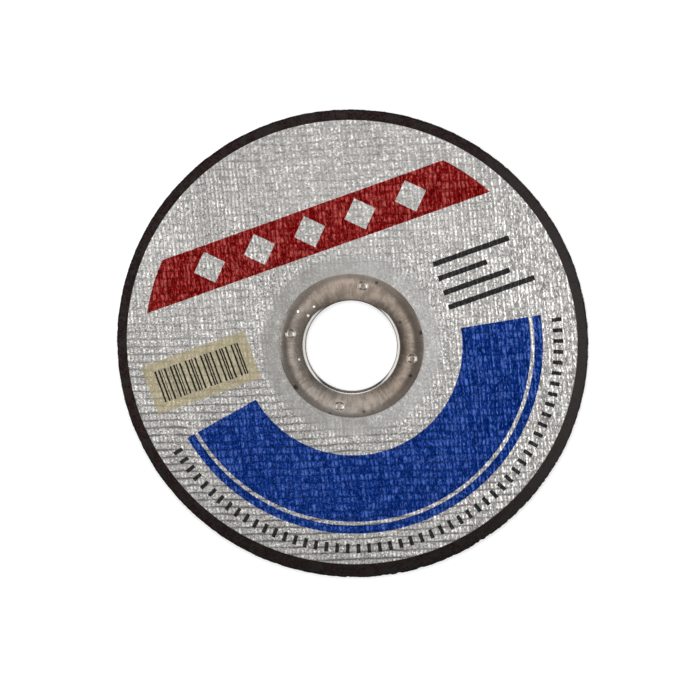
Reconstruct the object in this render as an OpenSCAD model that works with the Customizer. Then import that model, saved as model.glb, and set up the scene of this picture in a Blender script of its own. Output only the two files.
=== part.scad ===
// Cut-off wheel for an angle grinder. A thin disc of abrasive grain in resin is pressed between two
// woven glass meshes, a printed label lies on the front mesh, and a steel ring is clenched in the bore.
// Millimetres, +Z up out of the label, origin on the axis of the bore at the rear face.

/* [Wheel] */
// Outside diameter
wheel_d = 115; // [110:0.5:120]
// Thickness from the rear face to the crests of the weave on the label
wheel_t = 1; // [0.9:0.05:2.5]
// Width of the bare abrasive rim outside the label
rim_w = 2.6; // [1.5:0.1:5]
// How far the bare rim lies below the crests of the weave
rim_drop = 0.05; // [0:0.01:0.08]
// Chamfer on both edges of the rim
rim_chamfer = 0.1; // [0.02:0.01:0.2]
// Clearance round the meshes and the label in the pockets of the abrasive
pocket_fit = 0.05; // [0.02:0.01:0.2]

/* [Weave] */
// Distance between warp yarns
warp_pitch = 1.97; // [1.6:0.01:3]
// Distance between weft yarns
weft_pitch = 1.85; // [1.6:0.01:3]
// Width of the flat crest of a yarn
yarn_crest_w = 0.7; // [0.3:0.05:1.2]
// Angle of the weft yarns from the X axis
weave_turn = 4.5; // [-45:0.5:45]

/* [Reinforcing meshes] */
// Thickness of one glass mesh over its yarns
mesh_t = 0.22; // [0.2:0.01:0.28]
// Height of the yarns above the wall of the mesh
yarn_h = 0.1; // [0.04:0.01:0.15]
// How far the rear mesh lies above the surface that the wheel rests on
rear_sink = 0.02; // [0.01:0.01:0.05]

/* [Label] */
// Thickness of the label where it is pressed flat
label_t = 0.06; // [0.04:0.01:0.1]
// Height of the grooves of the weave above the flat zones
groove_lift = 0.01; // [0.01:0.01:0.05]
// Height of the yarns above the grooves
relief_h = 0.1; // [0.04:0.01:0.14]
// Diameter of the zone round the ring that is pressed flat
clamp_d = 44; // [38:0.5:60]
// Width of the flat margin along the edge of the label
label_margin = 0.6; // [0.3:0.1:3]

/* [Centre ring] */
// Bore for the spindle
bore_d = 22.23; // [16:0.01:25.4]
// Thickness of the sheet steel
ring_t = 0.2; // [0.12:0.01:0.2]
// Clearance between the collar and the layers round it
ring_fit = 0.05; // [0.02:0.01:0.15]
// Diameter at which the domed flange sits on the label
flange_d = 35; // [32.5:0.5:37.5]
// Height of the dome above the label
dome_h = 0.75; // [0.5:0.05:1.5]
// Outside radius of the fold between the dome and the collar
fold_r = 0.35; // [0.25:0.01:0.5]
// Radius inside the rear bend of the collar
bend_r = 0.1; // [0.05:0.01:0.15]
// Width of the flat lip that is clenched behind the abrasive, from the bend outwards
lip_w = 1.1; // [0.5:0.1:3]
// Clearance between the lip and the rear mesh
lip_fit = 0.2; // [0.1:0.05:0.5]

/* [Dimples] */
// Number of pressed dimples in the flange
dimples = 4; // [2:1:8]
// Diameter of one dimple
dimple_d = 2.4; // [1.2:0.1:3]
// Depth of one dimple
dimple_depth = 0.12; // [0.05:0.01:0.15]
// Distance of the dimples outside the highest line of the dome
dimple_out = 0.8; // [0:0.1:1.2]
// Angle of the first dimple from the X axis
dimple_turn = -11; // [-90:1:90]

/* [Hidden] */
$fn = 120;

wheel_r = wheel_d / 2;
bore_r = bore_d / 2;
clamp_r = clamp_d / 2;
label_r = wheel_r - rim_w;
weave_r = label_r - label_margin;
pocket_r = label_r + pocket_fit;
hole_r = bore_r + ring_t + ring_fit;
lip_r = bore_r + ring_t + bend_r + lip_w;

// Heights of the layers, from the front down to the label and from the rear up to the core
woven_t = label_t + groove_lift + relief_h;
label_z = wheel_t - woven_t;
flat_z = label_z + label_t;
core_front_z = label_z - mesh_t;
core_rear_z = rear_sink + mesh_t;
rim_z = wheel_t - rim_drop;

// Dome of the ring: an arc that is highest midway between the bore and the edge of the flange,
// and whose underside meets the label at that edge
crest_r = (bore_r + flange_d / 2) / 2;
dome_reach = flange_d / 2 - crest_r;
dome_r = (dome_reach * dome_reach + dome_h * dome_h - ring_t * ring_t) / (2 * (dome_h - ring_t));
dome_center = [crest_r, flat_z + dome_h - dome_r];
dome_edge_angle = acos(dome_reach / (dome_r - ring_t));

// Fold of the ring: an arc that touches the bore and the top of the dome
fold_reach = crest_r - bore_r - fold_r;
fold_rise = sqrt(pow(dome_r - fold_r, 2) - pow(fold_reach, 2));
fold_center = dome_center + [-fold_reach, fold_rise];
fold_angle = atan2(fold_rise, -fold_reach);

// Rear bend of the ring: an arc from the collar to the lip under the core
bend_center = [bore_r + ring_t + bend_r, core_rear_z + bend_r];

// Steps in the short bends and in the long arc of the dome
bend_steps = 6;
dome_steps = 16;

// Slack that carries a cutting shape past the faces it cuts
overcut = 1;

function arc(center, radius, from, to, steps) =
    [for (i = [0:steps])
        let (angle = from + (to - from) * i / steps)
            center + radius * [cos(angle), sin(angle)]];

// Half of the ring's section, once round the sheet from the lip to the flange and back
ring_section = concat(
    [[lip_r, core_rear_z - ring_t]],
    arc(bend_center, bend_r + ring_t, 270, 180, bend_steps),
    arc(fold_center, fold_r, 180, fold_angle, bend_steps),
    arc(dome_center, dome_r, fold_angle, dome_edge_angle, dome_steps),
    arc(dome_center, dome_r - ring_t, dome_edge_angle, fold_angle, dome_steps),
    arc(fold_center, fold_r - ring_t, fold_angle, 180, bend_steps),
    arc(bend_center, bend_r, 180, 270, bend_steps),
    [[lip_r, core_rear_z]]
);

// Section across the yarns of a woven sheet: a wall with one flat-topped ridge for each yarn
function yarn_section(pitch, height, ridge_h) =
    let (
        yarns = ceil(label_r / pitch),
        half_w = (yarns + 0.5) * pitch
    )
        concat(
            [[half_w, 0], [-half_w, 0]],
            [for (yarn = [-yarns:yarns])
                each [
                    [(yarn - 0.5) * pitch, height - ridge_h],
                    [yarn * pitch - yarn_crest_w / 2, height],
                    [yarn * pitch + yarn_crest_w / 2, height]
                ]],
            [[half_w, height - ridge_h]]
        );

// A flat ring with its underside at z = 0
module annulus(inner_r, outer_r, height) {
    difference() {
        cylinder(r = outer_r, h = height);
        translate([0, 0, -overcut])
            cylinder(r = inner_r, h = height + 2 * overcut);
    }
}

// A round woven sheet with a hole, flat below and with its yarns as ridges on top
module woven_ring(inner_r, outer_r, height, ridge_h, pitch, turn) {
    intersection() {
        rotate([90, 0, 90 + turn])
            linear_extrude(wheel_d, center = true)
                polygon(yarn_section(pitch, height, ridge_h));
        translate([0, 0, -overcut])
            annulus(inner_r, outer_r, height + 2 * overcut);
    }
}

// Disc of bonded grain: a thin core between the pockets for the meshes, and the bare rim.
// The rear edge of its hole is broken, clear of the bend of the ring.
module abrasive_body() {
    color("#2d2523")
        rotate_extrude()
            polygon([
                [hole_r, core_rear_z + bend_r],
                [hole_r + bend_r, core_rear_z],
                [pocket_r, core_rear_z],
                [pocket_r, 0],
                [wheel_r - rim_chamfer, 0],
                [wheel_r, rim_chamfer],
                [wheel_r, rim_z - rim_chamfer],
                [wheel_r - rim_chamfer, rim_z],
                [pocket_r, rim_z],
                [pocket_r, core_front_z],
                [hole_r, core_front_z]
            ]);
}

// Glass mesh under the label, weft yarns towards the label
module front_mesh() {
    color("#b5a888")
        translate([0, 0, core_front_z])
            woven_ring(hole_r, label_r, mesh_t, yarn_h, weft_pitch, weave_turn);
}

// Glass mesh in the rear face, warp yarns outwards, open round the lip of the ring
module rear_mesh() {
    color("#4a423c")
        translate([0, 0, core_rear_z])
            mirror([0, 0, 1])
                woven_ring(lip_r + lip_fit, label_r, mesh_t, yarn_h, warp_pitch, weave_turn + 90);
}

// Printed label, flat round the ring and along its edge, with the weft pressed through between them
module label() {
    color("#bdbdbb")
        translate([0, 0, label_z]) {
            annulus(hole_r, label_r, label_t);
            woven_ring(clamp_r, weave_r, woven_t, relief_h, weft_pitch, weave_turn);
        }
}

// Stamped steel ring: domed flange, collar through the bore and lip clenched at the rear
module centre_ring() {
    dimple_r = (pow(dimple_d / 2, 2) + dimple_depth * dimple_depth) / (2 * dimple_depth);
    dimple_reach = dome_r + dimple_r - dimple_depth;
    dimple_lean = asin(dimple_out / dome_r);
    color("#978b80")
        difference() {
            rotate_extrude()
                polygon(ring_section);
            for (i = [0:dimples - 1])
                rotate([0, 0, dimple_turn + i * 360 / dimples])
                    translate([
                        dome_center.x + dimple_reach * sin(dimple_lean),
                        0,
                        dome_center.y + dimple_reach * cos(dimple_lean)
                    ])
                        sphere(r = dimple_r);
        }
}

abrasive_body();
front_mesh();
rear_mesh();
label();
centre_ring();
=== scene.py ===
"""Looks of a cut-off wheel: a printed label with the weave pressed through, a grainy rim, a ring with wear
and painted light.

Lengths are millimetres until a mesh is made. +Z points out of the label and +Y is up in the picture.
"""
import math
from types import SimpleNamespace

import bpy
import numpy as np
from mathutils import Matrix, Vector, noise
from mathutils.geometry import tessellate_polygon


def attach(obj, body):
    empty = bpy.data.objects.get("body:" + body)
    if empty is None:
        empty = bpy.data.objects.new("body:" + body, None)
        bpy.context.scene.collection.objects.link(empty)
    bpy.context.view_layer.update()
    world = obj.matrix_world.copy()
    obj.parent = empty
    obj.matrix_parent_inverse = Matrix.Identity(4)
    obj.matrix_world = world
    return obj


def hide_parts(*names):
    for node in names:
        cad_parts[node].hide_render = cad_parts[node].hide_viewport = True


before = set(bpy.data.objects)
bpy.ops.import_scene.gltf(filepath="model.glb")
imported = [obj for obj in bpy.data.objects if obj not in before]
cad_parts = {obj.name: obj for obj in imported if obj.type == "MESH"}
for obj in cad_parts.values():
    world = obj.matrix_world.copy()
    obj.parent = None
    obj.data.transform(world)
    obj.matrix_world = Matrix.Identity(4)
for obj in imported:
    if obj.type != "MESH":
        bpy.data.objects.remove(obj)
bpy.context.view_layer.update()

MM = 0.001
SEED = 41

# Wheel, the same sizes as the solids
WHEEL_R = 57.5
LABEL_R = 54.9
CLAMP_R = 22.0
BORE_R = 11.115
WHEEL_T = 1.0
RIM_TOP = 0.95
MESH_T = 0.22
YARN_H = 0.1
LABEL_BASE = 0.83
LABEL_FLAT = 0.89
REAR_SINK = 0.02
POCKET_FIT = 0.05
POCKET_R = LABEL_R + POCKET_FIT
CORE_FRONT = LABEL_BASE - MESH_T
CORE_REAR = REAR_SINK + MESH_T

# Weave
WARP_PITCH = 1.97
WEFT_PITCH = 1.85
WEFT_TURN = math.radians(3.3)
WARP_TURN = math.radians(5.7)
RELIEF = WHEEL_T - LABEL_FLAT
GROOVE_LIFT = 0.006
WEAVE_FADE = 1.6
FLAT_RELIEF = 0.1
EDGE_RELIEF = 0.3
REAR_EDGE_RELIEF = 0.4
CROSSINGS = 256

# Grid lines of the woven meshes, as offsets in one pitch
LABEL_COLUMNS = (0, 0.16, 0.49, 0.82, 0.985, 1.15, 1.48, 1.81)
LABEL_ROWS = (0, 0.17, 0.62, 1.23, 1.68)
REAR_COLUMNS = (0, 0.2, 0.49, 0.78, 0.985, 1.19, 1.48, 1.77)
REAR_ROWS = (0, 0.25, 0.925, 1.6)

# Rings of points between the grid and the edges of the sheets
OUTER_RADII = (LABEL_R - 0.25, LABEL_R)
GRID_MARGIN = 0.12
LABEL_INNER_MARGIN = 0.3
REAR_INNER_MARGIN = 0.5
FLAT_ZONE_RADII = (18.6, 17.2, 14.5)

# Wander of the yarns in the plane: for X and for Y, pairs of reach and size of a lattice cell
YARN_WANDER = (((0.25, 9), (0.10, 2.7)), ((0.22, 7), (0.18, 3.3)))
WANDER_FADE = 3

# Edge of the label: its shift, how much narrower it is along Y, and the radii between which points follow it
LABEL_SHIFT = (-0.1, 0.4)
LABEL_SQUEEZE = 0.4
DRIFT_FROM = 44
DRIFT_TO = WHEEL_R - 0.3

# Broken skin of the rim: its rounding and steps, scales of noise, depths, and where the faces begin
RIM_ROUND = 0.14
RIM_EDGE_W = 0.7
GRAIN_STEP = 0.2
EDGE_STEP = 0.13
GRAIN_SCALE = 2.6
COARSE_SCALE = 0.55
CHIP_SCALE = 0.9
GRAIN_BITE = 0.10
COARSE_BITE = 0.09
CHIP_SIDE = math.radians(-55)
CHIP_DEPTH = 0.55
SKIN_DEPTH = 0.028
REAR_SKIN_SHARE = 0.6
REAR_SKIN_FADE = 0.4
EDGE_WEAR = 0.05
FACE_FRONT = RIM_TOP / 2 + 0.3
FACE_REAR = RIM_TOP / 2 - 0.3

# Ring of sheet steel
RING_T = 0.2
RING_FIT = 0.05
HOLE_R = BORE_R + RING_T + RING_FIT
FLANGE_R = 17.5
DOME_H = 0.75
FOLD_R = 0.35
BEND_R = 0.1
LIP_W = 1.1
LIP_R = BORE_R + RING_T + BEND_R + LIP_W
LIP_FIT = 0.2
DOME_LEAN = 0.06
DIMPLES = 4
DIMPLE_R = 1.2
DIMPLE_FLAT = 0.62
DIMPLE_DEPTH = 0.17
DIMPLE_OUT = 0.8
DIMPLE_TURN = math.radians(-11)
RING_SEGMENTS = 720
DOME_FOOT = LABEL_FLAT + 0.2
RING_CREST_R = (BORE_R + FLANGE_R) / 2
DIMPLE_SPOTS = [
    (
        (RING_CREST_R + DIMPLE_OUT) * math.cos(DIMPLE_TURN + i * 2 * math.pi / DIMPLES),
        (RING_CREST_R + DIMPLE_OUT) * math.sin(DIMPLE_TURN + i * 2 * math.pi / DIMPLES),
    )
    for i in range(DIMPLES)
]

# Dents of the dome: pairs of depth and scale of noise, and the height where they set in
DENTS = ((0.02, 0.45), (0.008, 1.7))
DENT_FOOT = LABEL_FLAT + 0.25

# Widths of the painted shade on the wall and of the painted highlight on the fold at the edge of the bore
WALL_W = 0.24
WALL_LOW_W = 0.3
FOLD_SIDE_W = 0.6
FOLD_LOW_W = 0.25

# Stretch of the streaks on the ring: round the axis and outward
STREAK_STRETCH = (26.0, 0.35)

# Share of a spot's radius inside which it is whole
SPOT_CORE = 0.45

# Marks on the ring: place on the XY plane and radius
DARK_SPECKS = (
    (11.8, 6.0, 0.55), (16.9, 3.4, 0.7), (14.5, -7.1, 0.6), (3.1, -16.1, 0.5),
    (-5.3, -16.8, 0.5), (-13.6, -10.3, 0.9), (-15.8, 3.4, 0.45), (6.2, 15.6, 0.5),
)
BRIGHT_SPECKS = ((-10.4, 7.4, 0.4), (-12.6, -3.4, 0.35), (-13.0, 8.4, 0.4), (-9.0, 9.6, 0.35))

# Print on the label: plain fields in a layout turned by PRINT_TURN
PRINT_TURN = math.radians(20)
PRINT_WANDER = 0.22
ARC_RADII = (27.0, 46.5)
ARC_HALF_ANGLE = math.radians(80)
ARC_LINE_RADII = (43.55, 44.45)
STRIPE_MIDDLE = 29.6
STRIPE_W = 11.0
STRIPE_REACH = 50.5
DIAMONDS = 5
DIAMOND_PITCH = 13.0
DIAMOND_HALF = 4.0
PATCH_MIDDLE = (-37.0, 6.0)
PATCH_SIZE = (27.0, 12.4)
BARS_SIZE = (22.0, 8.0)
BAR_WAVES = (4.7, 7.9)
BAR_LEVEL = 0.15
RULES_START = 25.5
RULES_PITCH = 3.7
RULES_H = 1.3
RULES_LENGTHS = (22.0, 17.0, 12.5, 19.5)
RULES_LOW = 1.0
TICK_RADII = (49.0, 51.4)
TICKS = 120
TICK_SHARE = 0.36

# How much of the weave's play of light is left where the label is pressed flat
FLAT_WEAVE = 0.36

# Most that the dotted look replaces the long strokes of the yarns
DOTTED_MOST = 0.9

# Size of the grains in the colour of the rim and the rear, as the scale of the cells
GRAIN_CELLS = 3.0

# Stretch of the noise across and along the warp for each kind of stroke
STROKES = {
    "blobs": (1.9, 1.2, 1.0),
    "threads": (2.3, 0.75, 1.0),
    "flecks": (1.15, 1.3, 1.0),
    "dots": (1.8, 1.8, 1.0),
}

# Camera: the picture that it repeats, in pixels, how far and to which side it leans, and its distance
PICTURE_PX = 700
BORE_CENTRE_PX = (351.35, 345.85)
OUTLINE_LONG_RADIUS_PX = 236.6
CAMERA_TILT = math.radians(9.4)
CAMERA_SIDE = math.radians(62)
CAMERA_DISTANCE = 800

# Lights: name, place, size and watts
LIGHTS = (
    ("above", (-200, -255, 2000), (750, 2700), 17.5),
    ("back", (-40, 430, 290), (600, 250), 1.5),
    ("left", (-900, 60, 560), (420, 700), 3.6),
    ("right", (900, 60, 560), (420, 700), 3.6),
)
WORLD_STRENGTH = 0.26
FLOOR_HALF = 4000
FLOOR_DEPTH = -0.05
FLOOR_GLOW = 0.28

# Colours, linear
SILVER = (0.40, 0.387, 0.373)
# Paper pressed flat round the ring: painted shade on its left side and painted light on its right side
SILVER_FLAT_PAINTED_SHADE = (0.325, 0.316, 0.298)
SILVER_FLAT_PAINTED_LIGHT = (0.40, 0.393, 0.385)
GLINT_PALE = (0.09, 0.12, 0.105)
BLUE = (0.0015, 0.028, 0.218)
RED = (0.218, 0.003, 0.0035)
BLACK = (0.012, 0.011, 0.011)
BEIGE = (0.38, 0.335, 0.225)
GRAIN_DARK = (0.008, 0.0035, 0.0035)
GRAIN_LIGHT = (0.026, 0.012, 0.011)
GRAIN_GREY = (0.017, 0.015, 0.014)
GRAIN_PALE_GREY = (0.034, 0.029, 0.029)
GRAIN_RUST = (0.05, 0.02, 0.015)
STEEL = (0.168, 0.139, 0.117)
STEEL_DARK = (0.112, 0.090, 0.074)
STEEL_BRIGHT = (0.85, 0.82, 0.77)
BROWNER = (1.0, 0.99, 0.97)
GREYER = (1.0, 1.06, 1.1)
STAIN_AND_PAINTED_SHADE = (0.02, 0.014, 0.010)
GLASS_DARK = (0.045, 0.036, 0.030)
GLASS_PALE = (0.20, 0.17, 0.13)
RESIN_DARK = (0.30, 0.25, 0.16)
RESIN_PALE = (0.55, 0.48, 0.33)
FLOOR_WHITE = (0.82, 0.82, 0.82)


# Mesh helpers

def mesh_object(name, points, faces, attributes=None):
    """A smooth-shaded object from points in millimetres."""
    mesh = bpy.data.meshes.new(name)
    mesh.from_pydata((np.asarray(points) * MM).tolist(), [], faces)
    mesh.polygons.foreach_set("use_smooth", [True] * len(mesh.polygons))
    for key, values in (attributes or {}).items():
        layer = mesh.attributes.new(key, "FLOAT", "POINT")
        layer.data.foreach_set("value", np.asarray(values, np.float32))
    mesh.update()
    piece = bpy.data.objects.new(name, mesh)
    bpy.context.scene.collection.objects.link(piece)
    return piece


def smooth_step(low, high, value):
    """A smooth change from 0 to 1 while the value goes from low to high."""
    t = np.clip((value - low) / (high - low), 0, 1)
    return t * t * (3 - 2 * t)


def lattice_noise(rng, x, y, cell):
    """Smooth noise from -1 to 1 with one random value at each corner of a square lattice."""
    size = int(2 * WHEEL_R / cell) + 4
    values = rng.uniform(-1, 1, (size, size))
    u = x / cell + size / 2
    v = y / cell + size / 2
    i = np.clip(np.floor(u).astype(int), 0, size - 2)
    j = np.clip(np.floor(v).astype(int), 0, size - 2)
    a = smooth_step(0, 1, u - i)
    b = smooth_step(0, 1, v - j)
    low = values[i, j] * (1 - a) + values[i + 1, j] * a
    high = values[i, j + 1] * (1 - a) + values[i + 1, j + 1] * a
    return low * (1 - b) + high * b


def boundary_loops(faces):
    """Ordered loops of the edges that belong to one face only."""
    ahead = {}
    for face in faces:
        for i, start in enumerate(face):
            ahead[(start, face[(i + 1) % len(face)])] = True
    after = {a: b for a, b in ahead if (b, a) not in ahead}
    loops = []
    while after:
        start, vertex = next(iter(after.items()))
        loop = [start]
        del after[start]
        while vertex != start:
            loop.append(vertex)
            vertex = after.pop(vertex)
        loops.append(loop)
    return loops


def wall_faces(loop, next_loop):
    """Faces between two closed loops with the same number of points."""
    return [[loop[k - 1], next_loop[k - 1], next_loop[k], loop[k]] for k in range(len(loop))]


def revolve(profile, segments):
    """Points and faces of a closed profile of (r, z) turned about the axis."""
    profile = np.asarray(profile, float)
    angles = np.linspace(0, 2 * math.pi, segments, endpoint=False)
    points = np.stack([
        np.outer(np.cos(angles), profile[:, 0]),
        np.outer(np.sin(angles), profile[:, 0]),
        np.tile(profile[:, 1], (segments, 1)),
    ], axis=-1).reshape(-1, 3)
    n = len(profile)
    faces = []
    for s in range(segments):
        a = s * n
        b = (s + 1) % segments * n
        faces += [[a + k, b + k, b + (k + 1) % n, a + (k + 1) % n] for k in range(n)]
    return points, faces


def arc(center, radius, start, end, steps):
    """Points along an arc, from start to end in degrees."""
    angles = np.radians(np.linspace(start, end, steps + 1))
    return [(center[0] + radius * math.cos(a), center[1] + radius * math.sin(a)) for a in angles]


def run(start, end, step):
    """Points along a straight stretch, without its last one."""
    count = max(1, round(math.dist(start, end) / step))
    way = np.array(end) - np.array(start)
    return [tuple(np.array(start) + way * k / count) for k in range(count)]


# Woven sheets

def grid_lines(pitch, offsets, reach):
    """Places of grid lines that repeat the same offsets in each pitch."""
    count = math.ceil(reach / pitch)
    return np.array([i * pitch + o for i in range(-count, count) for o in offsets])


def weave_axes():
    """Unit vectors along the weft and along the warp as the columns of a matrix."""
    return np.array([
        [math.cos(WEFT_TURN), -math.sin(WARP_TURN)],
        [math.sin(WEFT_TURN), math.cos(WARP_TURN)],
    ])


def label_drift(x, y):
    """How far the edge of the label, which is shifted and narrowed along Y, lies off its circle."""
    cosine = x / np.hypot(x, y)
    sine = y / np.hypot(x, y)
    squeeze = LABEL_SQUEEZE * sine ** 2
    return np.stack([LABEL_SHIFT[0] - squeeze * cosine, LABEL_SHIFT[1] - squeeze * sine], axis=1)


def woven_grid(columns, rows, woven_from, woven_to):
    """Points and faces of a grid along the yarns between two radii."""
    across, along = np.meshgrid(columns, rows, indexing="ij")
    places = np.stack([across.ravel(), along.ravel()], axis=1) @ weave_axes().T
    radius = np.hypot(places[:, 0], places[:, 1]).reshape(across.shape)
    inside = (radius > woven_from) & (radius < woven_to)
    whole = inside[:-1, :-1] & inside[1:, :-1] & inside[:-1, 1:] & inside[1:, 1:]
    index = np.arange(across.size).reshape(across.shape)
    i, j = np.nonzero(whole)
    quads = np.stack([index[i, j], index[i + 1, j], index[i + 1, j + 1], index[i, j + 1]], axis=1)
    used = np.unique(quads)
    renumber = np.full(across.size, -1)
    renumber[used] = np.arange(len(used))
    return places[used].tolist(), renumber[quads].tolist()


def close_to_circles(places, faces, middle_r, inner_radii, outer_radii):
    """Close the ragged edges of a grid to circles by rings of points and faces, and return the last rings."""
    edges = []
    for loop in boundary_loops(faces):
        radii = outer_radii if math.hypot(*places[loop[0]]) > middle_r else inner_radii
        for r in radii:
            ring = []
            for vertex in loop:
                x, y = places[vertex]
                scale = r / math.hypot(x, y)
                ring.append(len(places))
                places.append((x * scale, y * scale))
            faces += wall_faces(loop, ring)
            loop = ring
        edges.append(loop)
    return edges


def yarn_wander(places, woven_from, woven_to):
    """Small shifts of the points in the plane, none along the edges of the weave."""
    radius = np.hypot(places[:, 0], places[:, 1])
    fade_in = smooth_step(woven_from, woven_from + WANDER_FADE, radius)
    fade_out = 1 - smooth_step(woven_to - WANDER_FADE, woven_to, radius)
    rng = np.random.default_rng(SEED + 2)
    wander = np.stack([
        sum(reach * lattice_noise(rng, *places.T, cell) for reach, cell in waves) for waves in YARN_WANDER
    ], axis=1)
    return wander * (fade_in * fade_out)[:, None]


def woven_sheet(columns, rows, woven_from, inner_radii, form, base, drift=None):
    """A round sheet on a grid along the yarns, closed to circles at its edges, with a flat back.

    form(x, y) gives the height and the named shares at points in the frame.
    drift(x, y) moves the outer edge.
    """
    woven_to = OUTER_RADII[0] - GRID_MARGIN
    columns = grid_lines(WARP_PITCH, columns, LABEL_R)
    rows = grid_lines(WEFT_PITCH, rows, LABEL_R)
    places, faces = woven_grid(columns, rows, woven_from, woven_to)
    edges = close_to_circles(places, faces, (woven_from + woven_to) / 2, inner_radii, OUTER_RADII)
    places = np.array(places)
    top, shares = form(places[:, 0], places[:, 1])
    moved = places + yarn_wander(places, woven_from, woven_to)
    if drift:
        at_edge = smooth_step(DRIFT_FROM, LABEL_R - 1, np.hypot(places[:, 0], places[:, 1]))
        moved += drift(*places.T) * at_edge[:, None]

    points = np.column_stack([moved, top])
    backs = []
    for loop in edges:
        below = list(range(len(points), len(points) + len(loop)))
        points = np.vstack([points, np.column_stack([moved[loop], np.full(len(loop), base)])])
        shares = {key: np.concatenate([share, share[loop]]) for key, share in shares.items()}
        faces += wall_faces(loop, below)
        backs.append(below)
    flat_back = [vertex for back in backs for vertex in back]
    for corners in tessellate_polygon([[Vector(points[vertex]) for vertex in back] for back in backs]):
        faces.append([flat_back[corner] for corner in corners])
    return points, faces, shares


def yarn_shares(x, y, rng):
    """Shares of full relief at points in the frame: of the weft alone, and with the warp strands across it.

    A warp yarn is a pair of strands, and lift is a random height for each crossing of a strand and a weft.
    """
    col, row = (np.stack([x, y], axis=1) @ np.linalg.inv(weave_axes()).T).T
    col = col / WARP_PITCH
    row = row / WEFT_PITCH

    # Grooves between the wefts, of uneven depth and deeper at the low side
    deep = 0.8 + 0.35 * lattice_noise(rng, x, y, 2.4)
    deep = np.clip(deep * (0.8 + 0.3 * smooth_step(10, -45, y + 0.3 * x)), 0, 1)
    weft = 1 - deep * (1 - np.minimum(1, np.abs(np.sin(math.pi * row)) / 0.7) ** 0.9)

    # Strands of the warp, with a height of their own at each crossing
    strand = np.abs(np.sin(2 * math.pi * col)) ** 0.9
    pair = np.abs(np.sin(math.pi * col)) ** 0.4
    heights = rng.uniform(0, 1, (CROSSINGS, CROSSINGS))
    lift = heights[np.floor(row).astype(int) % CROSSINGS, np.floor(2 * col).astype(int) % CROSSINGS]
    lumps = 0.75 + 0.25 * lattice_noise(rng, x, y, 0.7)
    relief = weft * (0.25 + strand * pair * (0.25 + 0.5 * lift)) * lumps
    return {
        "weft": weft,
        "strand": strand * pair,
        "line": np.maximum(0, np.sin(2 * math.pi * col)) ** 2,
        "lift": lift,
        "relief": np.clip(relief, 0, 1),
    }


def label_form(x, y):
    """Height of the label and shares of its yarns, with most of the relief pressed flat round the ring."""
    rng = np.random.default_rng(SEED)
    radius = np.hypot(x, y)
    fade = FLAT_RELIEF * smooth_step(FLANGE_R + 0.3, FLANGE_R + 1, radius)
    fade = fade + (1 - FLAT_RELIEF) * smooth_step(CLAMP_R - WEAVE_FADE, CLAMP_R + 0.6, radius)
    fade *= 1 - (1 - EDGE_RELIEF) * smooth_step(LABEL_R - 1.6, LABEL_R, radius)
    shares = yarn_shares(x, y, rng)
    press = GROOVE_LIFT * lattice_noise(rng, x, y, 2.3) * (1 - fade)
    return LABEL_FLAT + GROOVE_LIFT + (RELIEF - GROOVE_LIFT) * shares["relief"] * fade + press, shares


def rear_form(x, y):
    """Height of the rear mesh, whose yarns stand out downwards, and shares of its yarns."""
    rng = np.random.default_rng(SEED + 1)
    fade = 1 - (1 - REAR_EDGE_RELIEF) * smooth_step(LABEL_R - 1.2, LABEL_R, np.hypot(x, y))
    shares = yarn_shares(x, y, rng)
    return CORE_REAR - (MESH_T - YARN_H) - YARN_H * shares["relief"] * fade, shares


# Pieces

def build_label():
    woven_from = CLAMP_R - WEAVE_FADE
    inner_radii = (woven_from - LABEL_INNER_MARGIN, *FLAT_ZONE_RADII, HOLE_R)
    points, faces, shares = woven_sheet(
        LABEL_COLUMNS, LABEL_ROWS, woven_from, inner_radii, label_form, LABEL_BASE, label_drift)
    piece = mesh_object("label_face", points, faces, shares)
    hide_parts("label")
    return piece


def build_rear_mesh():
    inner_r = LIP_R + LIP_FIT
    points, faces, shares = woven_sheet(
        REAR_COLUMNS, REAR_ROWS, inner_r + REAR_INNER_MARGIN, (inner_r,), rear_form, CORE_REAR)
    piece = mesh_object("rear_weave", points, [face[::-1] for face in faces], shares)
    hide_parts("rear_mesh")
    return piece


def core_profile():
    """Section of the abrasive between the pockets, from the top of the rim inwards and back at the rear.

    The corner at the base of the label is there twice, because only the first follows the label's edge.
    """
    return [
        (POCKET_R, RIM_TOP),
        (POCKET_R, LABEL_BASE),
        (POCKET_R, LABEL_BASE),
        (POCKET_R, CORE_FRONT),
        (HOLE_R, CORE_FRONT),
        (HOLE_R, CORE_REAR + BEND_R),
        (HOLE_R + BEND_R, CORE_REAR),
        (POCKET_R, CORE_REAR),
    ]


def rim_profile():
    """Section of the rim's skin, from the rear of the pocket round the edge to the top."""
    edge = WHEEL_R - RIM_ROUND
    return (
        run((POCKET_R, 0), (edge, 0), GRAIN_STEP)
        + arc((edge, RIM_ROUND), RIM_ROUND, -90, 0, 2)[:-1]
        + run((WHEEL_R, RIM_ROUND), (WHEEL_R, RIM_TOP - RIM_ROUND), EDGE_STEP)
        + arc((edge, RIM_TOP - RIM_ROUND), RIM_ROUND, 0, 90, 2)[:-1]
        + run((edge, RIM_TOP), (POCKET_R, RIM_TOP), GRAIN_STEP)
    )


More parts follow.
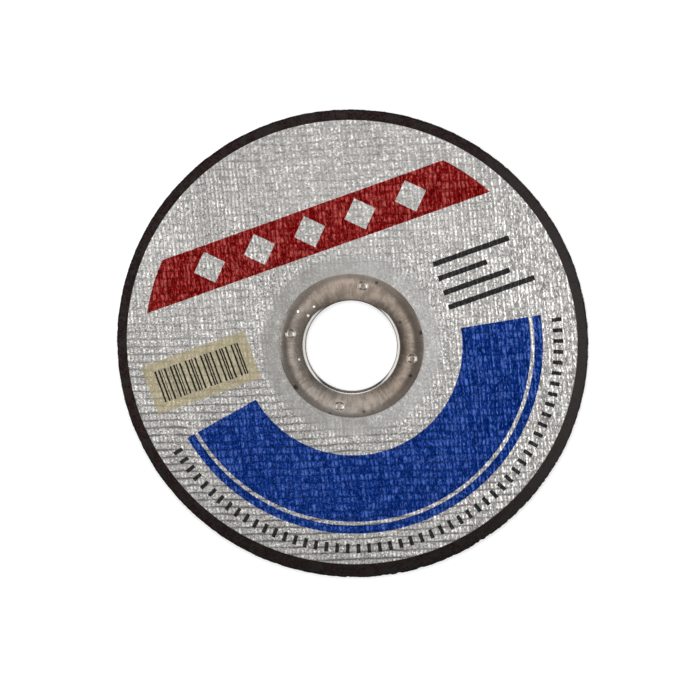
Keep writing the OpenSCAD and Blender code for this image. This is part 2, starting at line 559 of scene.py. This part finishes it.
def broken_place(place):
    """Where a point of the rim's skin lies once the skin is broken into grains and chips."""
    radius = math.hypot(place.x, place.y)
    grain = noise.noise(place * GRAIN_SCALE)
    coarse = noise.noise(place * COARSE_SCALE)
    chip = max(0.0, noise.noise(place * CHIP_SCALE))
    at_edge = float(smooth_step(WHEEL_R - RIM_EDGE_W, WHEEL_R, radius))
    # Chips bite deeper on one side of the rim
    wear_and_painted_light = CHIP_DEPTH * max(0.0, math.cos(math.atan2(place.y, place.x) - CHIP_SIDE)) ** 4
    bite = at_edge * (GRAIN_BITE * (1 + grain) + COARSE_BITE * coarse + wear_and_painted_light * chip)
    scale = 1 - max(0.0, bite) / radius
    skin = SKIN_DEPTH * (1 + grain)
    z = place.z
    if place.z > FACE_FRONT:
        z -= skin + EDGE_WEAR * at_edge * max(0.0, coarse)
    elif place.z < FACE_REAR:
        z += skin * REAR_SKIN_SHARE * float(smooth_step(0.0, REAR_SKIN_FADE, radius - POCKET_R))
    return place.x * scale, place.y * scale, z


def build_rim():
    """The abrasive body: a coarse core and a rim whose skin is broken into grains."""
    core = core_profile()
    profile = core + rim_profile()
    points, faces = revolve(profile, round(2 * math.pi * WHEEL_R / GRAIN_STEP))
    order = np.arange(len(points)) % len(profile)
    on_skin = order >= len(core)
    for k in np.nonzero(on_skin)[0]:
        points[k] = broken_place(Vector(points[k]))

    # The front of the rim and the first two corners of the core follow the label's edge
    by_label = (order < 2) | (on_skin & (points[:, 2] > FACE_FRONT))
    near = 1 - smooth_step(POCKET_R, DRIFT_TO, np.hypot(points[:, 0], points[:, 1]))
    points[:, :2] += np.where(by_label, near, 0)[:, None] * label_drift(points[:, 0], points[:, 1])
    piece = mesh_object("abrasive_rim", points, faces)
    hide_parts("abrasive_body")
    return piece


def ring_profile():
    """Section of the ring, once round the sheet from the clenched lip to the flange and back."""
    reach = FLANGE_R - RING_CREST_R
    dome_r = (reach ** 2 + DOME_H ** 2 - RING_T ** 2) / (2 * (DOME_H - RING_T))
    dome = (RING_CREST_R, LABEL_FLAT + DOME_H - dome_r)
    edge_angle = math.degrees(math.acos(reach / (dome_r - RING_T)))
    fold_reach = RING_CREST_R - BORE_R - FOLD_R
    fold_rise = math.sqrt((dome_r - FOLD_R) ** 2 - fold_reach ** 2)
    fold = (RING_CREST_R - fold_reach, dome[1] + fold_rise)
    fold_angle = math.degrees(math.atan2(fold_rise, -fold_reach))
    bend = (BORE_R + RING_T + BEND_R, CORE_REAR + BEND_R)
    half = RING_T / 2
    edge_mid = arc(dome, dome_r - half, edge_angle, edge_angle, 1)[0]
    return (
        run((LIP_R, CORE_REAR - RING_T), (bend[0], CORE_REAR - RING_T), 0.3)
        + arc(bend, BEND_R + RING_T, 270, 180, 6)
        + arc(fold, FOLD_R, 180, fold_angle, 10)[:-1]
        + arc(dome, dome_r, fold_angle, edge_angle, 56)
        + arc(edge_mid, half, edge_angle, edge_angle - 180, 4)[1:-1]
        + arc(dome, dome_r - RING_T, edge_angle, fold_angle, 14)
        + arc(fold, FOLD_R - RING_T, fold_angle, 180, 4)
        + arc(bend, BEND_R, 180, 270, 3)
        + [(LIP_R, CORE_REAR)]
    )


def dome_lean(points):
    """Rise of the dome outside its middle and fall inside it, none at the bore and at the flange's edge."""
    reach = FLANGE_R - RING_CREST_R
    turn = math.pi * (np.hypot(points[:, 0], points[:, 1]) - RING_CREST_R) / reach
    rise = DOME_LEAN * reach / math.pi * np.sin(turn)
    return rise * smooth_step(LABEL_FLAT - 0.1, DOME_FOOT, points[:, 2])


def build_ring():
    points, faces = revolve(ring_profile(), RING_SEGMENTS)
    points[:, 2] += dome_lean(points)
    for spot in DIMPLE_SPOTS:
        away = np.linalg.norm(points[:, :2] - np.array(spot), axis=1) / DIMPLE_R
        cup = 1 - smooth_step(DIMPLE_FLAT, 1.0, away)
        points[:, 2] -= np.where(points[:, 2] > DOME_FOOT, DIMPLE_DEPTH * cup, 0)
    for k in np.nonzero(points[:, 2] > DENT_FOOT)[0]:
        place = Vector(points[k])
        points[k, 2] -= sum(depth * max(0.0, noise.noise(place * scale)) for depth, scale in DENTS)
    piece = mesh_object("steel_ring", points, [face[::-1] for face in faces])
    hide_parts("centre_ring")
    return piece


# Materials

class Shader:
    """A node material with short calls for the nodes that it needs.

    place is the point in millimetres, x and y are its parts and radius is its distance from the axis.
    """

    def __init__(self, name):
        self.material = bpy.data.materials.new(name)
        self.material.use_nodes = True
        self.tree = self.material.node_tree
        self.surface = self.tree.nodes["Principled BSDF"]
        place = self.tree.nodes.new("ShaderNodeTexCoord").outputs["Object"]
        self.place = self.scaled(place, 1 / MM)
        self.x, self.y, _ = self.split(self.place)
        self.radius = self.length(self.x, self.y)

    def put(self, value, socket):
        """Link an output to an input, or set the input's value."""
        if isinstance(value, bpy.types.NodeSocket):
            self.tree.links.new(value, socket)
        elif isinstance(value, tuple) and len(value) == 3 and len(socket.default_value) == 4:
            socket.default_value = (*value, 1)
        else:
            socket.default_value = value

    def set(self, **inputs):
        """Fill inputs of the surface, named with underscores for spaces."""
        for key, value in inputs.items():
            self.put(value, self.surface.inputs[key.replace("_", " ")])

    def vector_math(self, operation, *values, scale=None):
        node = self.tree.nodes.new("ShaderNodeVectorMath")
        node.operation = operation
        for i, value in enumerate(values):
            self.put(value, node.inputs[i])
        if scale is not None:
            self.put(scale, node.inputs["Scale"])
        return node.outputs[0]

    def scaled(self, vector, factor):
        return self.vector_math("SCALE", vector, scale=factor)

    def math(self, operation, *values):
        node = self.tree.nodes.new("ShaderNodeMath")
        node.operation = operation
        for i, value in enumerate(values):
            self.put(value, node.inputs[i])
        return node.outputs[0]

    def product(self, *values):
        out = values[0]
        for value in values[1:]:
            out = self.math("MULTIPLY", out, value)
        return out

    def largest(self, *values):
        out = values[0]
        for value in values[1:]:
            out = self.math("MAXIMUM", out, value)
        return out

    def size(self, value):
        return self.math("ABSOLUTE", value)

    def less(self, value, taken):
        return self.math("SUBTRACT", value, taken)

    def length(self, u, v):
        return self.math("SQRT", self.math("ADD", self.product(u, u), self.product(v, v)))

    def toward(self, a, b):
        """How far the point lies along a direction: a times x plus b times y."""
        return self.math("MULTIPLY_ADD", self.x, a, self.product(self.y, b))

    def within(self, value, middle, half):
        """1 where the value lies no further than half from the middle, and 0 elsewhere."""
        return self.math("COMPARE", value, middle, half)

    def band(self, radius, radii):
        """A ring between two radii."""
        return self.within(radius, sum(radii) / 2, (radii[1] - radii[0]) / 2)

    def box(self, u, v, middle, size):
        """A rectangle on the plane of u and v."""
        return self.product(self.within(u, middle[0], size[0] / 2), self.within(v, middle[1], size[1] / 2))

    def spot(self, center, size):
        """A soft-edged round spot on the XY plane."""
        away = self.length(self.less(self.x, center[0]), self.less(self.y, center[1]))
        return self.ramp(away, size, SPOT_CORE * size)

    def ramp(self, value, low, high, to_low=0.0, to_high=1.0):
        """A smooth change from to_low to to_high while the value goes from low to high."""
        node = self.tree.nodes.new("ShaderNodeMapRange")
        node.interpolation_type = "SMOOTHSTEP"
        for i, item in enumerate((value, low, high, to_low, to_high)):
            self.put(item, node.inputs[i])
        return node.outputs[0]

    def by(self, share, without, full):
        """A smooth change from one value to another with a share."""
        return self.ramp(share, 0.0, 1.0, without, full)

    def blend(self, share, a, b):
        """A straight mix of two values."""
        return self.math("MULTIPLY_ADD", self.less(b, a), share, a)

    def mix(self, share, a, b):
        """A mix of two colours."""
        node = self.tree.nodes.new("ShaderNodeMix")
        node.data_type = "RGBA"
        self.put(share, node.inputs["Factor"])
        for name, value in (("A", a), ("B", b)):
            socket = next(s for s in node.inputs if s.name == name and s.type == "RGBA")
            self.put(value, socket)
        return next(s for s in node.outputs if s.type == "RGBA")

    def noise(self, scale, detail=2.0, roughness=0.5, place=None, output="Fac"):
        node = self.tree.nodes.new("ShaderNodeTexNoise")
        self.put(place or self.place, node.inputs["Vector"])
        for key, value in (("Scale", scale), ("Detail", detail), ("Roughness", roughness)):
            node.inputs[key].default_value = value
        return node.outputs[output]

    def cells(self, scale, output="Color"):
        node = self.tree.nodes.new("ShaderNodeTexVoronoi")
        self.put(self.place, node.inputs["Vector"])
        node.inputs["Scale"].default_value = scale
        return node.outputs[output]

    def attribute(self, name):
        node = self.tree.nodes.new("ShaderNodeAttribute")
        node.attribute_name = name
        return node.outputs["Fac"]

    def split(self, vector):
        node = self.tree.nodes.new("ShaderNodeSeparateXYZ")
        self.put(vector, node.inputs[0])
        return node.outputs

    def joined(self, *parts):
        node = self.tree.nodes.new("ShaderNodeCombineXYZ")
        for i, part in enumerate(parts):
            self.put(part, node.inputs[i])
        return node.outputs[0]

    def turned(self, angle, place=None):
        node = self.tree.nodes.new("ShaderNodeVectorRotate")
        node.rotation_type = "Z_AXIS"
        self.put(place or self.place, node.inputs["Vector"])
        node.inputs["Angle"].default_value = angle
        return node.outputs[0]

    def bump(self, height, strength, distance):
        node = self.tree.nodes.new("ShaderNodeBump")
        node.inputs["Strength"].default_value = strength
        node.inputs["Distance"].default_value = distance * MM
        self.put(height, node.inputs["Height"])
        return node.outputs[0]


def red_stripe(shader, u, v, radius):
    """A straight stripe with a row of bare diamonds."""
    stripe = shader.product(
        shader.within(v, STRIPE_MIDDLE, STRIPE_W / 2), shader.math("LESS_THAN", radius, STRIPE_REACH))
    step = shader.math("DIVIDE", u, DIAMOND_PITCH)
    nearest = shader.math("ROUND", step)
    beside = shader.size(shader.product(shader.less(step, nearest), DIAMOND_PITCH))
    above = shader.size(shader.less(v, STRIPE_MIDDLE))
    diamond = shader.product(
        shader.math("LESS_THAN", shader.math("ADD", beside, above), DIAMOND_HALF),
        shader.within(nearest, 0.0, DIAMONDS / 2))
    return shader.product(stripe, shader.less(1.0, diamond))


def black_bars(shader, u, v):
    """Upright bars of uneven width on the pale patch."""
    waves = [shader.math("SINE", shader.product(u, wave)) for wave in BAR_WAVES]
    bar = shader.math("GREATER_THAN", shader.math("ADD", *waves), BAR_LEVEL)
    return shader.product(bar, shader.box(u, v, PATCH_MIDDLE, BARS_SIZE))


def black_rules(shader, u, v):
    """Plain rules of uneven length, one above the other."""
    return shader.largest(*(
        shader.box(u, v, (RULES_START + length / 2, RULES_LOW + i * RULES_PITCH), (length, RULES_H))
        for i, length in enumerate(RULES_LENGTHS)))


def black_ticks(shader, radius, down):
    """Short ticks along a circle."""
    turns = shader.product(down, TICKS / (2 * math.pi))
    tick = shader.within(shader.less(turns, shader.math("ROUND", turns)), 0.0, TICK_SHARE / 2)
    return shader.product(tick, shader.band(radius, TICK_RADII))


def print_inks(shader):
    """Shares of blue, red, beige and black ink at a point."""
    wander = shader.vector_math("SUBTRACT", shader.noise(1.1, output="Color"), (0.5, 0.5, 0.5))
    place = shader.vector_math("ADD", shader.place, shader.scaled(wander, PRINT_WANDER))
    u, v, _ = shader.split(shader.turned(-PRINT_TURN, place))
    radius = shader.length(u, v)
    down = shader.math("ARCTAN2", u, shader.product(v, -1.0))
    sector = shader.within(down, 0.0, ARC_HALF_ANGLE)
    line = shader.band(radius, ARC_LINE_RADII)
    ticks = shader.product(black_ticks(shader, radius, down), sector)
    return SimpleNamespace(
        blue=shader.product(shader.band(radius, ARC_RADII), sector, shader.less(1.0, line)),
        red=red_stripe(shader, u, v, radius),
        beige=shader.box(u, v, PATCH_MIDDLE, PATCH_SIZE),
        black=shader.largest(black_bars(shader, u, v), black_rules(shader, u, v), ticks),
    )


def label_zones(shader, inks):
    """Shares that say how the weave looks at a point, by its place on the wheel and by the ink there."""
    return SimpleNamespace(
        woven=shader.ramp(shader.radius, CLAMP_R - 1.2, CLAMP_R + 0.8, FLAT_WEAVE, 1.0),
        lively=shader.ramp(shader.toward(1.0, -0.25), 8.0, 42.0),
        calm=shader.ramp(shader.less(shader.y, shader.size(shader.x)), -5.0, 35.0),
        dotted=shader.ramp(shader.toward(1.0, 1.0), -10.0, -40.0, 0.0, DOTTED_MOST),
        ink=shader.largest(inks.blue, inks.red),
        patch=inks.beige,
    )


def label_weave(shader):
    """Shares of the yarns at a point, and noises that break them up."""
    along = shader.turned(-WARP_TURN)
    strokes = {
        name: shader.noise(1.5, 2.0, 0.55, shader.vector_math("MULTIPLY", along, stretch))
        for name, stretch in STROKES.items()
    }
    return SimpleNamespace(
        weft=shader.attribute("weft"),
        strand=shader.attribute("strand"),
        line=shader.attribute("line"),
        lift=shader.attribute("lift"),
        fine=shader.noise(2.6, 3.0, 0.6),
        **strokes,
    )


def crossing_chance(shader, weave, grain):
    """A noise that is raised or lowered as a whole at each crossing of the yarns."""
    return shader.math("MULTIPLY_ADD", grain, 2.6, shader.math("MULTIPLY_ADD", weave.lift, 0.6, -1.1))


def label_color(shader, inks, zones):
    """Colour of the paper and its print, with painted light and shade by the side of the wheel, without the
    play of light on the weave.
    """
    # Pressed paper round the ring, with painted shade to the left and painted light to the right
    pressed = shader.mix(shader.ramp(shader.toward(1.0, 0.1), -14.0, 18.0), SILVER_FLAT_PAINTED_SHADE, SILVER_FLAT_PAINTED_LIGHT)
    left = shader.math("MULTIPLY_ADD", shader.size(shader.y), 0.7, shader.x)

    # Painted light and shade: brighter at the right and the left edge, darker at the top edge and the lower
    # left
    painted_sheen = shader.product(
        shader.ramp(shader.toward(1.0, 0.3), -5.0, 45.0, 1.0, 1.1),
        shader.ramp(left, -12.0, -35.0, 1.0, 1.12),
        shader.ramp(shader.y, 28.0, 52.0, 1.08, 0.96),
        shader.ramp(shader.toward(1.0, 1.0), -20.0, -45.0, 1.0, 0.9))
    color = shader.mix(shader.ramp(zones.woven, FLAT_WEAVE, 1.0), pressed, shader.scaled(SILVER, painted_sheen))
    blotch = shader.noise(0.12, 3.0, 0.55)
    color = shader.mix(shader.ramp(blotch, 0.35, 0.7, 0.0, 0.12), color, BLACK)
    for share, tone in ((inks.blue, BLUE), (inks.red, RED), (inks.beige, BEIGE), (inks.black, BLACK)):
        color = shader.mix(share, color, tone)
    return color


def yarn_glint(shader, weave, zones):
    """Share of bright crests at single crossings, and of strokes that run on over several of them."""
    # Blobs in the middle, threads at the sides, dots at the lower left and flecks at the top
    sides = shader.ramp(shader.size(shader.x), 20.0, 42.0, 0.0, 0.85)
    grain = shader.blend(sides, weave.blobs, weave.threads)
    grain = shader.blend(zones.dotted, grain, weave.dots)
    grain = shader.blend(zones.calm, grain, weave.flecks)
    crest = shader.product(
        shader.ramp(crossing_chance(shader, weave, grain), 0.3, 1.1),
        shader.ramp(weave.strand, 0.35, 0.9),
        shader.ramp(weave.weft, 0.25, 0.9),
        shader.ramp(shader.noise(2.2, 2.0, 0.6), 0.36, 0.6, 0.25, 1.0))
    stroke = shader.product(shader.ramp(grain, 0.5, 0.7), shader.by(zones.calm, 0.75, 0.5))
    return shader.largest(crest, stroke)


def ink_glint(shader, weave, zones):
    """Share of bright crests in the inks."""
    return shader.product(
        shader.ramp(crossing_chance(shader, weave, weave.threads), 0.45, 1.1),
        shader.ramp(weave.weft, 0.0, 0.7, 0.25, 1.0),
        shader.ramp(weave.strand, 0.1, 0.6, 0.35, 1.0),
        zones.ink,
        0.85)


def line_glint(shader, weave, zones):
    """Share of thin bright lines along the strands of the warp."""
    on_paper = shader.ramp(shader.x, -30.0, 30.0, 0.55, 0.8)
    on_ink = shader.ramp(shader.x, -30.0, 30.0, 0.7, 1.0)
    return shader.product(
        shader.ramp(weave.line, 0.45, 1.0),
        shader.ramp(weave.threads, 0.4, 0.56),
        shader.ramp(weave.weft, 0.0, 0.6, 0.25, 1.0),
        shader.ramp(shader.size(shader.x), 12.0, 36.0, 0.35, 1.0),
        shader.ramp(zones.dotted, 0.0, DOTTED_MOST, 1.0, 0.3),
        shader.by(zones.ink, on_paper, on_ink))


def label_glint(shader, weave, zones):
    """Share of the painted highlight on the yarns, less where the label is pressed flat and on the patch."""
    glint = shader.largest(*(make(shader, weave, zones) for make in (yarn_glint, ink_glint, line_glint)))
    return shader.product(glint, zones.woven, shader.by(zones.patch, 1.0, 0.35))


def label_shade(shader, weave, zones):
    """Share of the colour that is lost to painted shade and dirt in grooves between the wefts, in hollows and
    in gaps of the warp.
    """
    # Grooves with ragged edges, patchy on paper and clearer in the inks and at the low side
    ragged = shader.math("MULTIPLY_ADD", weave.fine, 0.9, shader.math("ADD", weave.weft, -0.45))
    low_side = shader.ramp(shader.toward(-0.25, -1.0), -40.0, 45.0)
    patchy = shader.ramp(shader.noise(0.7), 0.35, 0.6, 0.12, 0.5)
    gate = shader.largest(patchy, shader.product(low_side, 0.78))
    gate = shader.largest(
        shader.product(gate, shader.by(zones.ink, 1.0, 0.75)),
        shader.product(zones.ink, 0.62))
    groove = shader.product(shader.ramp(ragged, shader.by(zones.ink, 1.05, 1.25), 0.2), gate)

    # Hollows: specks all over, and whole crossings in the inks and at the right
    hollow = shader.largest(
        shader.product(shader.ramp(weave.fine, 0.49, 0.35), shader.by(zones.calm, 0.75, 0.5)),
        shader.product(
            shader.ramp(crossing_chance(shader, weave, weave.threads), 0.45, -0.1),
            shader.largest(shader.product(zones.ink, 0.8), shader.product(zones.lively, 0.6))))

    # Gaps between the strands of the warp
    gap = shader.product(
        shader.ramp(weave.strand, 0.5, 0.1),
        shader.ramp(weave.fine, 0.35, 0.6, 0.1, 0.45),
        shader.by(zones.ink, shader.by(zones.calm, 1.0, 0.5), 1.7))

    return shader.product(
        shader.largest(groove, hollow, gap),
        shader.by(zones.patch, 1.0, 0.5),
        shader.by(zones.ink, 1.0, 0.9),
        zones.woven)


def label_material():
    shader = Shader("label_print")
    inks = print_inks(shader)
    zones = label_zones(shader, inks)
    weave = label_weave(shader)
    color = label_color(shader, inks, zones)
    # Painted highlights: a brighter copy of the colour on the crests, strokes and lines of the yarns
    gain = shader.by(zones.ink, shader.by(zones.lively, 3.0, 3.6), 2.2)
    pale = shader.scaled(GLINT_PALE, shader.by(zones.ink, 0.3, 1.0))
    bright = shader.vector_math("ADD", shader.scaled(color, gain), pale)
    color = shader.mix(label_glint(shader, weave, zones), color, bright)
    color = shader.scaled(color, shader.less(1.0, label_shade(shader, weave, zones)))
    upright = shader.vector_math("MULTIPLY", shader.place, (1.0, 0.3, 1.0))
    smear = shader.noise(0.6, 4.0, 0.65, upright)
    shader.set(
        Base_Color=shader.scaled(color, shader.ramp(smear, 0.25, 0.75, 0.88, 1.1)),
        Roughness=shader.ramp(weave.fine, 0.3, 0.7, 0.3, 0.5),
        Specular_IOR_Level=shader.by(zones.ink, 0.09, 0.0),
        Normal=shader.bump(shader.noise(3.2, 3.0, 0.6), 0.4, 0.04),
    )
    return shader.material


def abrasive_material():
    shader = Shader("bonded_grain")
    tone = shader.split(shader.cells(GRAIN_CELLS))
    color = shader.mix(shader.ramp(tone[0], 0.55, 0.95), GRAIN_DARK, GRAIN_LIGHT)
    grey = shader.ramp(shader.noise(0.4, 3.0, 0.6), 0.48, 0.6, 0.0, 0.75)
    color = shader.mix(grey, color, GRAIN_GREY)
    color = shader.mix(shader.product(shader.ramp(tone[1], 0.85, 0.95), 0.4), color, GRAIN_RUST)
    # Paler grey grains towards the right, and darker towards the bottom
    paler_right = shader.product(shader.ramp(shader.x, 20.0, 58.0), shader.ramp(tone[2], 0.1, 0.9, 0.5, 1.0))
    color = shader.mix(paler_right, color, GRAIN_PALE_GREY)
    color = shader.scaled(color, shader.ramp(shader.y, -10.0, -55.0, 1.0, 0.6))
    edge = shader.product(
        shader.ramp(shader.radius, WHEEL_R - RIM_EDGE_W, WHEEL_R - 0.15),
        shader.ramp(shader.noise(0.8), 0.35, 0.6, 0.2, 0.8))
    height = shader.math("ADD", shader.cells(GRAIN_CELLS, "Distance"), shader.noise(7.0, 3.0, 0.6))
    shader.set(
        Base_Color=shader.scaled(color, shader.less(1.0, edge)),
        Roughness=shader.ramp(tone[2], 0.2, 0.9, 0.5, 0.9),
        Specular_IOR_Level=0.12,
        Normal=shader.bump(height, 0.6, 0.12),
    )
    return shader.material


def rear_material():
    shader = Shader("rear_glass")
    relief = shader.attribute("relief")
    fine = shader.noise(2.0, 3.0, 0.6)
    yarn = shader.product(shader.ramp(relief, 0.3, 0.8), shader.ramp(fine, 0.3, 0.7, 0.25, 0.9))
    tone = shader.split(shader.cells(GRAIN_CELLS))
    grain = shader.mix(shader.ramp(tone[0], 0.5, 0.95), GRAIN_DARK, GRAIN_LIGHT)
    glass = shader.mix(shader.ramp(fine, 0.4, 0.75), GLASS_DARK, GLASS_PALE)
    shader.set(
        Base_Color=shader.mix(yarn, grain, glass),
        Roughness=shader.ramp(relief, 0.2, 0.8, 0.8, 0.45),
        Normal=shader.bump(shader.noise(4.0, 3.0, 0.6), 0.6, 0.08),
    )
    return shader.material


def front_mesh_material():
    shader = Shader("front_glass")
    fine = shader.noise(2.0, 3.0, 0.6)
    shader.set(
        Base_Color=shader.mix(shader.ramp(fine, 0.35, 0.7), RESIN_DARK, RESIN_PALE),
        Roughness=shader.ramp(fine, 0.3, 0.7, 0.4, 0.65),
        Normal=shader.bump(shader.noise(5.0, 2.0), 0.4, 0.05),
    )
    return shader.material


def steel_color(shader, stain, height):
    """Colour of the bare steel, by its stains, painted shade and light on the slopes of the dome, and the
    side of the ring.
    """
    color = shader.mix(shader.ramp(stain, 0.36, 0.6), STEEL_DARK, STEEL)
    # Painted shade on the inner slope of the dome, lighter on the left side, and painted light on the outer
    # slope
    wear_and_painted_light = shader.ramp(shader.x, -13.0, -7.0, 1.3, shader.ramp(height, 9.5, 12.5, 0.68, 0.8))
    inner = shader.ramp(shader.radius, 12.4, 13.9, wear_and_painted_light, 1.0)
    outer = shader.ramp(shader.radius, 15.0, 16.2, 1.0, 1.22)
    color = shader.scaled(color, shader.product(inner, outer))
    tint = shader.mix(shader.ramp(shader.toward(1.0, 0.7), 6.0, -12.0), BROWNER, GREYER)
    return shader.vector_math("MULTIPLY", color, tint)


def bore_edge(shader):
    """Shares of the painted shade on the wall of the bore and of the painted highlight on the fold above it,
    which is widest at the sides.
    """
    side = shader.ramp(shader.size(shader.x), 5.0, 9.5)
    low = shader.product(shader.less(1.0, side), shader.ramp(shader.y, 2.0, -8.0))
    wall_r = shader.math("MULTIPLY_ADD", low, WALL_LOW_W, BORE_R + WALL_W)
    wall = shader.ramp(shader.radius, wall_r, shader.less(wall_r, 0.06))
    fold_w = shader.math("ADD", shader.product(side, FOLD_SIDE_W), shader.product(low, FOLD_LOW_W))
    fold_r = shader.math("ADD", wall_r, fold_w)
    fold = shader.product(
        shader.ramp(shader.radius, fold_r, shader.less(fold_r, 0.2)),
        shader.largest(side, shader.product(low, 0.5)))
    return wall, fold


def dimple_edge(shader, spot):
    """Share of the painted highlight on the left and the right edge of a dimple."""
    ridge = shader.less(shader.spot(spot, DIMPLE_R + 0.3), shader.spot(spot, DIMPLE_R - 0.25))
    beside = shader.ramp(shader.size(shader.less(shader.x, spot[0])), 0.35, 0.75)
    level = shader.ramp(shader.size(shader.less(shader.y, spot[1])), 0.75, 0.4, 0.12, 1.0)
    return shader.product(ridge, beside, level)


def steel_material():
    shader = Shader("worn_steel")
    height = shader.size(shader.y)
    angle = shader.math("ARCTAN2", shader.y, shader.x)
    polar = shader.joined(
        shader.product(angle, STREAK_STRETCH[0]), shader.product(shader.radius, STREAK_STRETCH[1]))
    streak = shader.noise(1.0, 3.0, 0.6, polar)
    fine = shader.noise(3.0, 3.0, 0.6)
    blotch = shader.noise(0.4, 4.0, 0.6)
    stain = shader.math("ADD", shader.product(blotch, 0.6), shader.product(streak, 0.4))
    dark = shader.largest(*(shader.spot((x, y), size) for x, y, size in DARK_SPECKS))
    dark = shader.product(dark, shader.ramp(fine, 0.3, 0.5, 0.4, 1.0))
    bright = shader.largest(*(shader.spot((x, y), size) for x, y, size in BRIGHT_SPECKS))
    wall, fold = bore_edge(shader)
    # Painted highlights on the fold at the sides and the bottom of the bore and on the left and right edges
    # of the dimples, which are also smoother
    polish_and_painted_highlight = shader.largest(fold, *(dimple_edge(shader, spot) for spot in DIMPLE_SPOTS))
    # Real dark specks, and painted shade on the wall of the bore
    specks_and_painted_shade = shader.largest(dark, shader.product(wall, 0.9))

    color = steel_color(shader, stain, height)
    color = shader.mix(shader.largest(bright, polish_and_painted_highlight), color, STEEL_BRIGHT)
    bare = shader.ramp(shader.radius, 15.4, 17.0, 0.95, shader.ramp(height, 6.0, 14.0, 0.66, 0.34))
    relief = shader.math("ADD", fine, shader.math("ADD", streak, bright))
    shader.set(
        Base_Color=shader.mix(specks_and_painted_shade, color, STAIN_AND_PAINTED_SHADE),
        Metallic=shader.by(shader.largest(dark, shader.product(polish_and_painted_highlight, 0.7)), bare, 0.2),
        Roughness=shader.less(shader.ramp(stain, 0.3, 0.7, 0.31, 0.24), shader.product(polish_and_painted_highlight, 0.06)),
        Normal=shader.bump(shader.less(relief, specks_and_painted_shade), 0.25, 0.05),
    )
    return shader.material


def floor_material():
    shader = Shader("floor_white")
    rays = shader.tree.nodes.new("ShaderNodeLightPath").outputs
    seen = shader.largest(rays["Is Camera Ray"], rays["Is Glossy Ray"], rays["Is Transmission Ray"])
    shader.set(
        Base_Color=FLOOR_WHITE,
        Roughness=0.9,
        Emission_Color=(1.0, 1.0, 1.0),
        Emission_Strength=shader.product(seen, FLOOR_GLOW),
    )
    return shader.material


def dress(piece, material):
    """Put one material in all the slots of a piece."""
    if not piece.material_slots:
        piece.data.materials.append(None)
    for slot in piece.material_slots:
        slot.material = material


# Stage

def build_floor():
    signs = ((-1, -1), (1, -1), (1, 1), (-1, 1))
    corners = [(x * FLOOR_HALF, y * FLOOR_HALF, FLOOR_DEPTH) for x, y in signs]
    floor = mesh_object("floor", corners, [[0, 1, 2, 3]])
    dress(floor, floor_material())


def facing(back):
    """Rotation of a camera or a light whose back points along the given vector, with +Y up."""
    back = back.normalized()
    right = Vector((0, 1, 0)).cross(back).normalized()
    return Matrix((right, back.cross(right), back)).transposed()


def add_light(name, place, size, watts):
    """A rectangular light that faces the origin."""
    data = bpy.data.lights.new(name, "AREA")
    data.shape = "RECTANGLE"
    data.size = size[0] * MM
    data.size_y = size[1] * MM
    data.energy = watts
    light = bpy.data.objects.new(name, data)
    bpy.context.scene.collection.objects.link(light)
    light.location = Vector(place) * MM
    light.rotation_euler = facing(Vector(place)).to_euler()


def build_light():
    world = bpy.data.worlds.new("studio")
    bpy.context.scene.world = world
    world.use_nodes = True
    nodes = world.node_tree.nodes
    links = world.node_tree.links
    background = nodes["Background"]
    background.inputs["Color"].default_value = (1, 1, 1, 1)
    rays = nodes.new("ShaderNodeLightPath").outputs
    strength = nodes.new("ShaderNodeMapRange")
    strength.inputs["To Min"].default_value = WORLD_STRENGTH
    strength.inputs["To Max"].default_value = 1.0
    links.new(rays["Is Camera Ray"], strength.inputs["Value"])
    links.new(strength.outputs[0], background.inputs["Strength"])
    for light in LIGHTS:
        add_light(*light)


def build_camera():
    px_per_mm = OUTLINE_LONG_RADIUS_PX / WHEEL_R
    view_w = PICTURE_PX / px_per_mm
    aim = Vector((
        (PICTURE_PX / 2 - BORE_CENTRE_PX[0]) / px_per_mm,
        (BORE_CENTRE_PX[1] - PICTURE_PX / 2) / px_per_mm,
        RIM_TOP,
    ))
    away = Vector((
        math.sin(CAMERA_TILT) * math.cos(CAMERA_SIDE),
        math.sin(CAMERA_TILT) * math.sin(CAMERA_SIDE),
        math.cos(CAMERA_TILT),
    ))
    data = bpy.data.cameras.new("camera")
    data.sensor_fit = "HORIZONTAL"
    data.angle = 2 * math.atan(view_w / 2 / CAMERA_DISTANCE)
    data.clip_end = 100
    camera = bpy.data.objects.new("camera", data)
    bpy.context.scene.collection.objects.link(camera)
    camera.matrix_world = Matrix.Translation((aim + away * CAMERA_DISTANCE) * MM) @ facing(away).to_4x4()
    bpy.context.scene.camera = camera


build_camera()
build_floor()
build_light()
label = build_label()
rim = build_rim()
rear = build_rear_mesh()
ring = build_ring()
dress(label, label_material())
dress(rim, abrasive_material())
dress(rear, rear_material())
dress(ring, steel_material())
dress(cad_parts["front_mesh"], front_mesh_material())
for piece in (label, rim, rear, ring):
    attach(piece, "root")

bpy.context.scene.view_settings.view_transform = "Standard"
